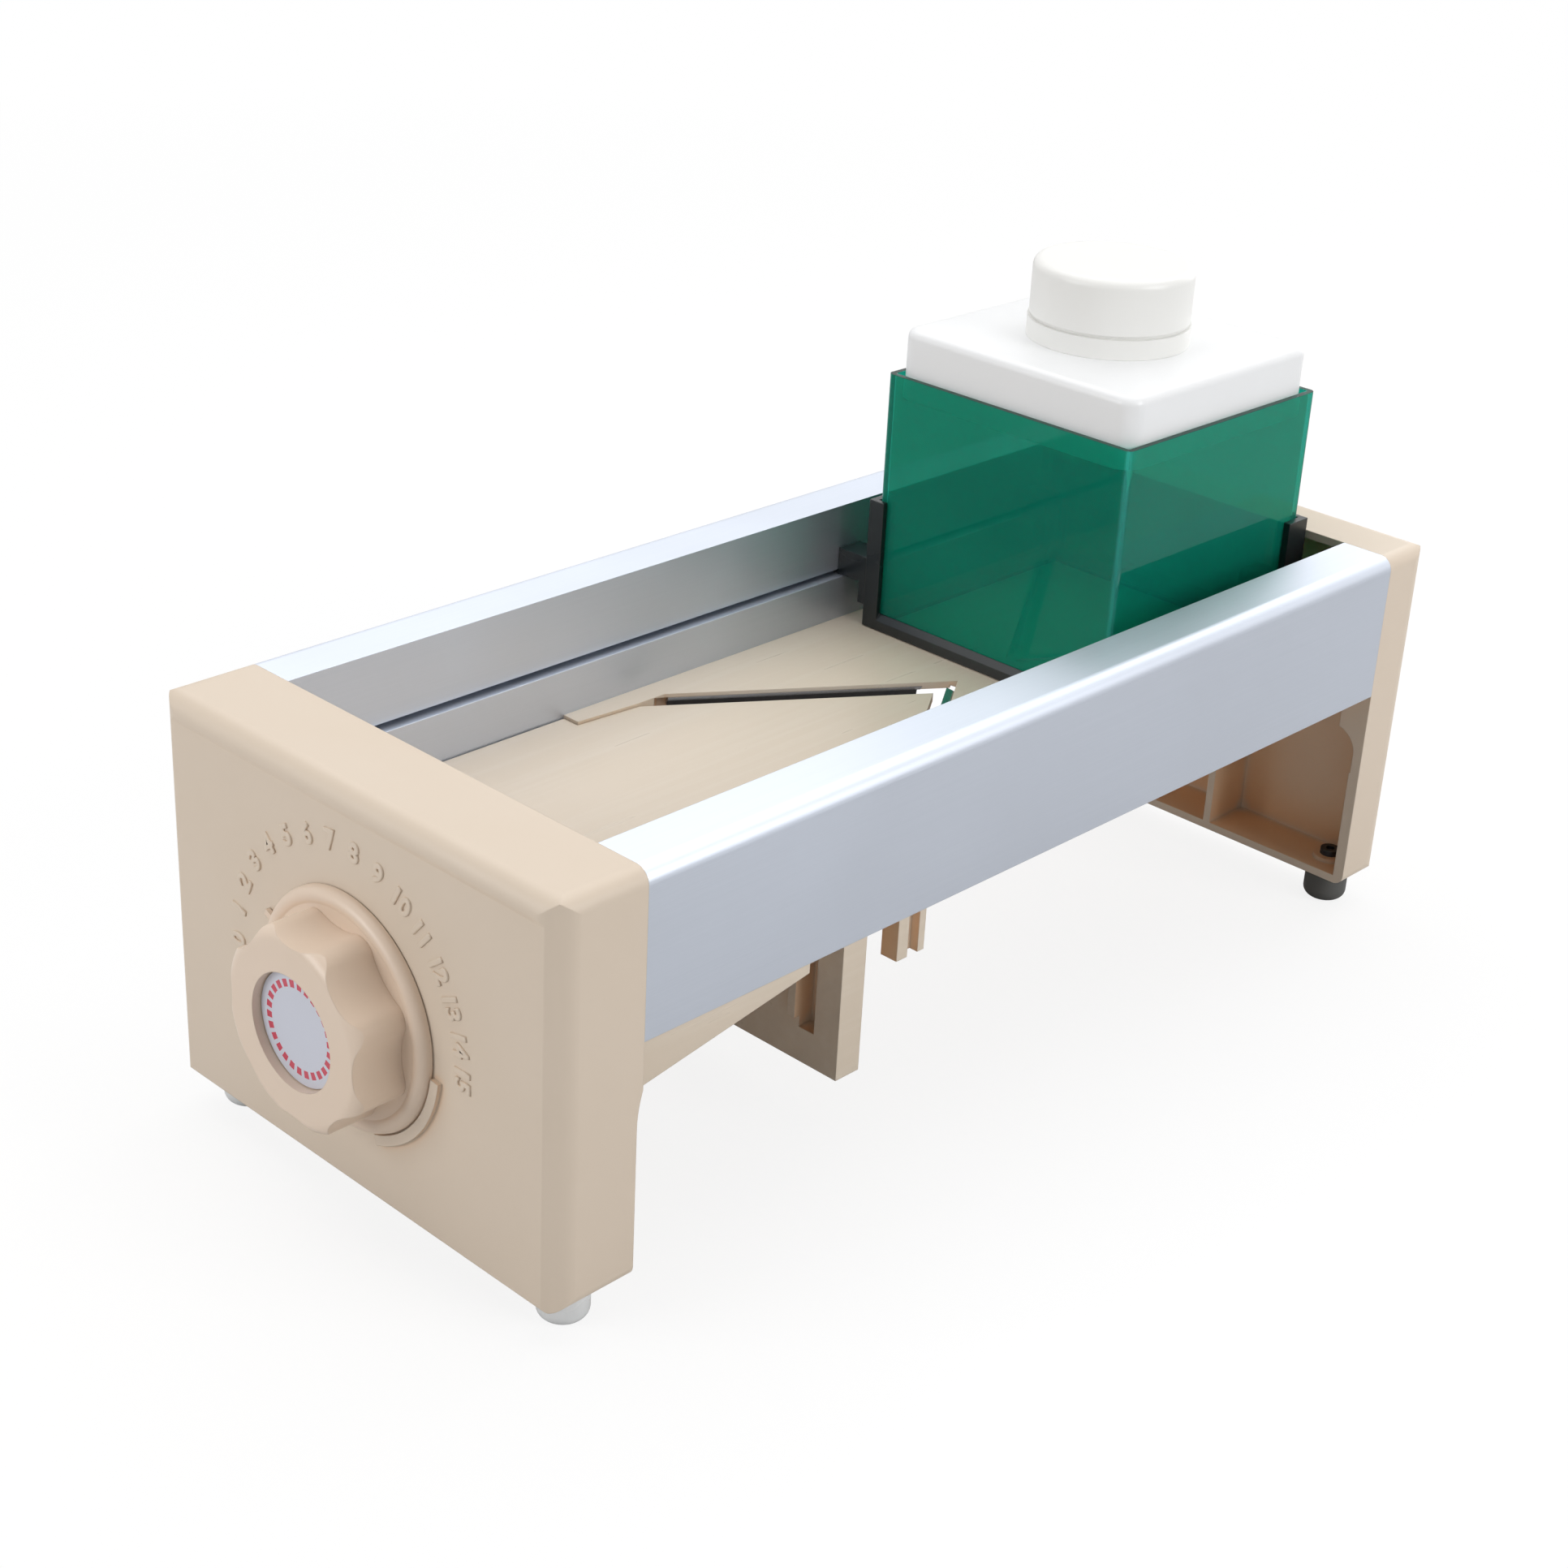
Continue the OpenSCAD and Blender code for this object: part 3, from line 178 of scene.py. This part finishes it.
def drawn_metal(name, light, dark, rough, across, along, depth, edge=0.3 * mm):
    """Metal with fine lines left by its making: short across, long along."""
    made, tree, place = blank(name)
    size = add(tree, "ShaderNodeMapping", Vector=place,
               Scale=(1 / across, 1 / along, 1 / across))
    lines = add(tree, "ShaderNodeTexNoise", Vector=size.outputs["Vector"], Scale=1.0,
                Detail=3.0)
    # Handling leaves patches some 60 mm wide that are just duller
    cloud = add(tree, "ShaderNodeTexNoise", Vector=place, Scale=1 / (60 * mm), Detail=2.0)
    tone = add(tree, "ShaderNodeMix", {"data_type": "RGBA"}, i0=lines.outputs["Fac"],
               i6=linear(light), i7=linear(dark))
    gloss = add(tree, "ShaderNodeMapRange", Value=cloud.outputs["Fac"], From_Min=0.3,
                From_Max=0.7, To_Min=rough - 0.03, To_Max=rough + 0.03)
    soft = add(tree, "ShaderNodeBevel", {"samples": 4}, Radius=edge)
    scratch = add(tree, "ShaderNodeBump", Strength=0.2, Distance=depth,
                  Height=lines.outputs["Fac"], Normal=soft.outputs["Normal"])
    shader = add(tree, "ShaderNodeBsdfPrincipled", Base_Color=tone.outputs[2], Metallic=1.0,
                 Roughness=gloss.outputs["Result"], Normal=scratch.outputs["Normal"])
    add(tree, "ShaderNodeOutputMaterial", Surface=shader.outputs["BSDF"])
    return made


def green_acrylic(name):
    """Clear green acrylic: it tints what stands behind it and mirrors the room faintly."""
    made, tree, place = blank(name)
    # Casting leaves the sheet just wavy, over some 30 mm
    wave = add(tree, "ShaderNodeTexNoise", Vector=place, Scale=1 / (30 * mm), Detail=1.0)
    tone = add(tree, "ShaderNodeMix", {"data_type": "RGBA"}, i0=wave.outputs["Fac"],
               i6=linear("#20bba3"), i7=linear("#1cb39b"))
    # Painted light running along inside the sheet: its rounded corners are painted a lighter
    # teal as a glow, and the cut rim, which faces up, is painted a deep green as shade
    facing = add(tree, "ShaderNodeSeparateXYZ",
                 Vector=add(tree, "ShaderNodeNewGeometry").outputs["Normal"]).outputs
    slant = add(tree, "ShaderNodeMath", {"operation": "MULTIPLY"}, i0=facing["X"],
                i1=facing["Y"])
    turn = add(tree, "ShaderNodeMath", {"operation": "ABSOLUTE"}, i0=slant.outputs[0])
    corner = add(tree, "ShaderNodeMapRange", Value=turn.outputs[0], From_Min=0.1,
                 From_Max=0.4)
    corner_glow = add(tree, "ShaderNodeMix", {"data_type": "RGBA"}, i0=corner.outputs["Result"],
                 i6=tone.outputs[2], i7=linear("#58d8cc"))
    rim = add(tree, "ShaderNodeMapRange", Value=facing["Z"], From_Min=0.5, From_Max=0.8)
    rim_shade = add(tree, "ShaderNodeMix", {"data_type": "RGBA"}, i0=rim.outputs["Result"],
               i6=corner_glow.outputs[2], i7=linear("#083a36"))
    soft = add(tree, "ShaderNodeBevel", {"samples": 4}, Radius=0.4 * mm)
    ripple = add(tree, "ShaderNodeBump", Strength=0.1, Distance=0.2 * mm,
                 Height=wave.outputs["Fac"], Normal=soft.outputs["Normal"])
    # The room here is white all round, so that acrylic's own 1.49 would lay a pale veil on it:
    # a lower IOR gives as little gloss as the real sheet shows
    shader = add(tree, "ShaderNodeBsdfPrincipled", Base_Color=rim_shade.outputs[2], IOR=1.25,
                 Roughness=0.03, Transmission_Weight=0.77, Specular_IOR_Level=0.3,
                 Normal=ripple.outputs["Normal"])
    add(tree, "ShaderNodeOutputMaterial", Surface=shader.outputs["BSDF"])
    return made


def printed_disc(name):
    """Pale lacquered disc with a thin ring of short red dashes near its rim."""
    made, tree, place = blank(name)
    low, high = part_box("dial_badge")
    middle = (low + high) / 2
    off = add(tree, "ShaderNodeVectorMath", {"operation": "SUBTRACT"}, i0=place,
              i1=(middle.x, 0, middle.z))
    flat = add(tree, "ShaderNodeVectorMath", {"operation": "MULTIPLY"},
               i0=off.outputs["Vector"], i1=(1, 0, 1))
    radius = add(tree, "ShaderNodeVectorMath", {"operation": "LENGTH"},
                 i0=flat.outputs["Vector"])
    parts = add(tree, "ShaderNodeSeparateXYZ", Vector=flat.outputs["Vector"])
    angle = add(tree, "ShaderNodeMath", {"operation": "ARCTAN2"}, i0=parts.outputs["Z"],
                i1=parts.outputs["X"])
    turns = add(tree, "ShaderNodeMath", {"operation": "MULTIPLY"}, i0=angle.outputs[0],
                i1=DASHES / math.tau)
    part = add(tree, "ShaderNodeMath", {"operation": "FRACT"}, i0=turns.outputs[0])
    dash = add(tree, "ShaderNodeMath", {"operation": "LESS_THAN"}, i0=part.outputs[0],
               i1=DASH_SHARE)
    near = add(tree, "ShaderNodeMath", {"operation": "COMPARE"}, i0=radius.outputs["Value"],
               i1=PRINT_RING, i2=PRINT_HALF_WIDTH)
    ink = add(tree, "ShaderNodeMath", {"operation": "MULTIPLY"}, i0=dash.outputs[0],
              i1=near.outputs[0])
    tone = add(tree, "ShaderNodeMix", {"data_type": "RGBA"}, i0=ink.outputs[0],
               i6=linear("#cdd0dc"), i7=linear("#c8465a"))
    # The lacquer pools in spots some 6 mm wide that are just glossier
    cloud = add(tree, "ShaderNodeTexNoise", Vector=place, Scale=1 / (6 * mm), Detail=2.0)
    gloss = add(tree, "ShaderNodeMapRange", Value=cloud.outputs["Fac"], To_Min=0.2,
                To_Max=0.3)
    shader = add(tree, "ShaderNodeBsdfPrincipled", Base_Color=tone.outputs[2], IOR=1.5,
                 Roughness=gloss.outputs["Result"])
    add(tree, "ShaderNodeOutputMaterial", Surface=shader.outputs["BSDF"])
    return made


def white_room():
    """A world that is white to the eye and in reflections, and lights the object softly."""
    world = bpy.data.worlds.new("white room")
    bpy.context.scene.world = world
    world.use_nodes = True
    tree = world.node_tree
    tree.nodes.clear()
    rays = add(tree, "ShaderNodeLightPath").outputs
    seen = add(tree, "ShaderNodeMath", {"operation": "MAXIMUM"}, i0=rays["Is Camera Ray"],
               i1=rays["Is Glossy Ray"])
    shown = add(tree, "ShaderNodeMath", {"operation": "MAXIMUM"}, i0=seen.outputs[0],
                i1=rays["Is Transmission Ray"])
    light = add(tree, "ShaderNodeMapRange", Value=shown.outputs[0], To_Min=ROOM_LIGHT,
                To_Max=1.0)
    room = add(tree, "ShaderNodeBackground", Color=(1, 1, 1, 1),
               Strength=light.outputs["Result"])
    add(tree, "ShaderNodeOutputWorld", Surface=room.outputs["Background"])


def paper_floor():
    """A wide sheet of pale matt paper, a fifth of a millimetre under the feet."""
    bpy.ops.mesh.primitive_plane_add(size=20, location=(0, 0, -0.2 * mm))
    floor = bpy.context.object
    floor.name = "floor"
    made, tree, place = blank("pale matt floor")
    # A faint unevenness some 200 mm wide, as paper has
    cloud = add(tree, "ShaderNodeTexNoise", Vector=place, Scale=1 / (200 * mm), Detail=1.0)
    tone = add(tree, "ShaderNodeMix", {"data_type": "RGBA"}, i0=cloud.outputs["Fac"],
               i6=linear("#d9d9d9"), i7=linear("#d5d5d5"))
    # The eye sees white paper, with the shadow on it, and the object gets the light of pale
    # grey. Farther off the sheet shows plain white, as the lamps don't reach there
    direct = add(tree, "ShaderNodeLightPath").outputs["Is Camera Ray"]
    sheet = add(tree, "ShaderNodeMix", {"data_type": "RGBA"}, i0=direct, i6=tone.outputs[2],
                i7=linear("#ffffff"))
    paper = add(tree, "ShaderNodeBsdfDiffuse", Color=sheet.outputs[2])
    glow = add(tree, "ShaderNodeEmission", Color=(1, 1, 1, 1), Strength=1.0)
    far = add(tree, "ShaderNodeVectorMath", {"operation": "LENGTH"}, i0=place)
    most = add(tree, "ShaderNodeMapRange", Value=far.outputs["Value"], From_Min=0.5,
               From_Max=1.5, To_Min=0.85, To_Max=1.0)
    share = add(tree, "ShaderNodeMath", {"operation": "MULTIPLY"}, i0=direct,
                i1=most.outputs["Result"])
    white = add(tree, "ShaderNodeMixShader", i0=share.outputs[0], i1=paper.outputs[0],
                i2=glow.outputs[0])
    # From below the sheet is clear, so that the feet and the underside can be looked at
    below = add(tree, "ShaderNodeNewGeometry").outputs["Backfacing"]
    clear = add(tree, "ShaderNodeBsdfTransparent")
    either = add(tree, "ShaderNodeMixShader", i0=below, i1=white.outputs[0],
                 i2=clear.outputs[0])
    add(tree, "ShaderNodeOutputMaterial", Surface=either.outputs[0])
    floor.data.materials.append(made)


def softbox(name, at, size, watts):
    """Square area lamp that looks at the middle of the object."""
    data = bpy.data.lights.new(name, "AREA")
    data.shape = "SQUARE"
    data.size = size
    data.energy = watts
    lamp = bpy.data.objects.new(name, data)
    lamp.location = at
    lamp.rotation_mode = "QUATERNION"
    lamp.rotation_quaternion = (Vector(MIDDLE) - Vector(at)).to_track_quat("-Z", "Y")
    bpy.context.scene.collection.objects.link(lamp)


def dial_numbers(material):
    """Raised numbers round the dial, their tops outward, 0 at the left and 15 at the right."""
    low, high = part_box("dial_badge")
    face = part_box("shaft_bush")[0].y
    centre = Vector((RING_OFF_CENTRE, face, (low.z + high.z) / 2))
    for number in range(LAST_NUMBER + 1):
        angle = math.radians(180 - STEP * number)
        text = bpy.data.curves.new(f"number_{number}", "FONT")
        text.body = str(number)
        text.size = NUMBER_SIZE
        text.align_x = "CENTER"
        text.align_y = "CENTER"
        text.extrude = NUMBER_DEPTH
        text.bevel_depth = NUMBER_ROUNDING
        text.offset = NUMBER_FATTENING
        text.bevel_resolution = 2
        text.resolution_u = 6
        piece = bpy.data.objects.new(f"number_{number}", text)
        out = Vector((math.cos(angle), 0, math.sin(angle)))
        along = Vector((out.z, 0, -out.x))
        forward = Vector((0, -1, 0))
        turn = Matrix((along, out, forward)).transposed().to_4x4()
        piece.matrix_world = Matrix.Translation(centre + NUMBER_RING * out) @ turn
        bpy.context.scene.collection.objects.link(piece)
        text.materials.append(material)
        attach(piece, "body")


camera_at_the_corner()
white_room()
paper_floor()
for name, (at, size, watts) in LAMPS.items():
    softbox(name, at, size, watts)

# Moulded ABS of the housings: warm beige, satin, and painted browner inside as warm shade
housing_abs = moulded_plastic("beige ABS", "#dacab8", "#d6c6b3", 0.42, 0.5 * mm, 0.02 * mm,
                              warm_hollow_shade=0.6)
# The same ABS on the table and plate, painted a shade lighter to stand in for more light on
# it, and painted browner inside as warm shade; where food slides: faint lanes of wear along it
lit_table_abs = moulded_plastic("rubbed beige ABS painted lighter", "#dfd0bd", "#dbccb8", 0.4, 0.5 * mm,
                            0.02 * mm, rubbed=0.15, warm_hollow_shade=0.6)
# The same ABS on the knob and skirt, a shade lighter and redder, and smoother
dial_abs = moulded_plastic("dial ABS", "#e4d0bd", "#e0cbb6", 0.36, 0.5 * mm, 0.015 * mm)
# Anodised aluminium extrusion: cool grey, with drawn lines along the rail
anodised = drawn_metal("anodised aluminium", "#c8cdd7", "#c2c8d2", 0.47, 0.5 * mm, 90 * mm,
                       0.01 * mm)
# Blade steel, ground across the edge
blade_steel = drawn_metal("ground blade steel", "#a8a9ab", "#8e9093", 0.24, 6 * mm, 0.4 * mm,
                          0.01 * mm, edge=0.1 * mm)
# Bright zinc on the screws: a little blue, with short marks from the die
zinc = drawn_metal("zinc plated steel", "#b9babd", "#a3a5aa", 0.3, 0.6 * mm, 0.6 * mm,
                   0.02 * mm)
# Blackened steel of the screws in the feet: a thin oily oxide over fine turning marks
black_screws = drawn_metal("blackened steel", "#4a4a4c", "#39393c", 0.42, 0.5 * mm, 0.5 * mm,
                           0.02 * mm)
# Sintered bronze bush: warm and slightly porous
bronze = drawn_metal("sintered bronze", "#b8945a", "#9c7b47", 0.45, 0.4 * mm, 0.4 * mm,
                     0.03 * mm)
# Black stove paint of the clamp bars: satin, with a faint orange-peel skin
clamp_paint = moulded_plastic("black stove paint", "#242526", "#1e1f20", 0.4, 0.8 * mm,
                              0.02 * mm)
# Glass-filled nylon of the carriage: near black with a blue cast, quite glossy
carriage_nylon = moulded_plastic("black nylon", "#1b2224", "#151b1d", 0.3, 0.5 * mm,
                                 0.015 * mm)
# Cast acrylic of the hopper: clear, glossy and deep green
hopper_acrylic = green_acrylic("clear green acrylic")
# White polypropylene of the tray, and the faintly warm one of its knob: both a little waxy
tray_white = moulded_plastic("white polypropylene", "#f1f2f3", "#eeeff0", 0.35, 0.5 * mm,
                             0.01 * mm)
grip_ivory = moulded_plastic("ivory polypropylene", "#efefec", "#ecebe8", 0.38, 0.5 * mm,
                             0.01 * mm)
# White acetal of the cam: waxy, slippery and just yellow
cam_acetal = moulded_plastic("white acetal", "#dededa", "#d8d8d3", 0.33, 0.6 * mm, 0.01 * mm)
# Soft PVC of the front feet: milky and smooth
milky_pvc = moulded_plastic("milky soft plastic", "#e6e8e9", "#dfe1e2", 0.3, 0.8 * mm,
                            0.02 * mm)
# Moulded rubber of the rear feet: dark grey and dull
dark_rubber = moulded_plastic("dark grey rubber", "#585856", "#4e4e4c", 0.6, 0.6 * mm,
                              0.04 * mm)
# Printed and lacquered disc of the dial: pale, glossy, with a red ring
badge_print = printed_disc("lacquered disc")

dress = {
    housing_abs: ["front_housing", "rear_housing"],
    lit_table_abs: ["rear_table", "slicing_plate"],
    dial_abs: ["dial_knob", "dial_skirt"],
    anodised: ["rail_left", "rail_right"],
    blade_steel: ["blade_left", "blade_right"],
    zinc: ["follower_pin", "blade_screws", "table_screws", "rail_screws", "knob_screw",
           "dial_shaft", "thrust_washer", "cam_nut", "shoe_screws", "grip_screw"],
    black_screws: ["foot_screws"],
    bronze: ["shaft_bush"],
    clamp_paint: ["blade_clamp_left", "blade_clamp_right"],
    carriage_nylon: ["carriage_frame", "slide_shoes"],
    hopper_acrylic: ["hopper_box"],
    tray_white: ["pusher_tray"],
    grip_ivory: ["pusher_grip"],
    cam_acetal: ["cam_disc"],
    milky_pvc: ["front_feet"],
    dark_rubber: ["rear_feet"],
    badge_print: ["dial_badge"],
}
for material, names in dress.items():
    for name in names:
        for slot in nodes[name].material_slots:
            slot.material = material

dial_numbers(housing_abs)

bpy.context.scene.view_settings.view_transform = "Standard"
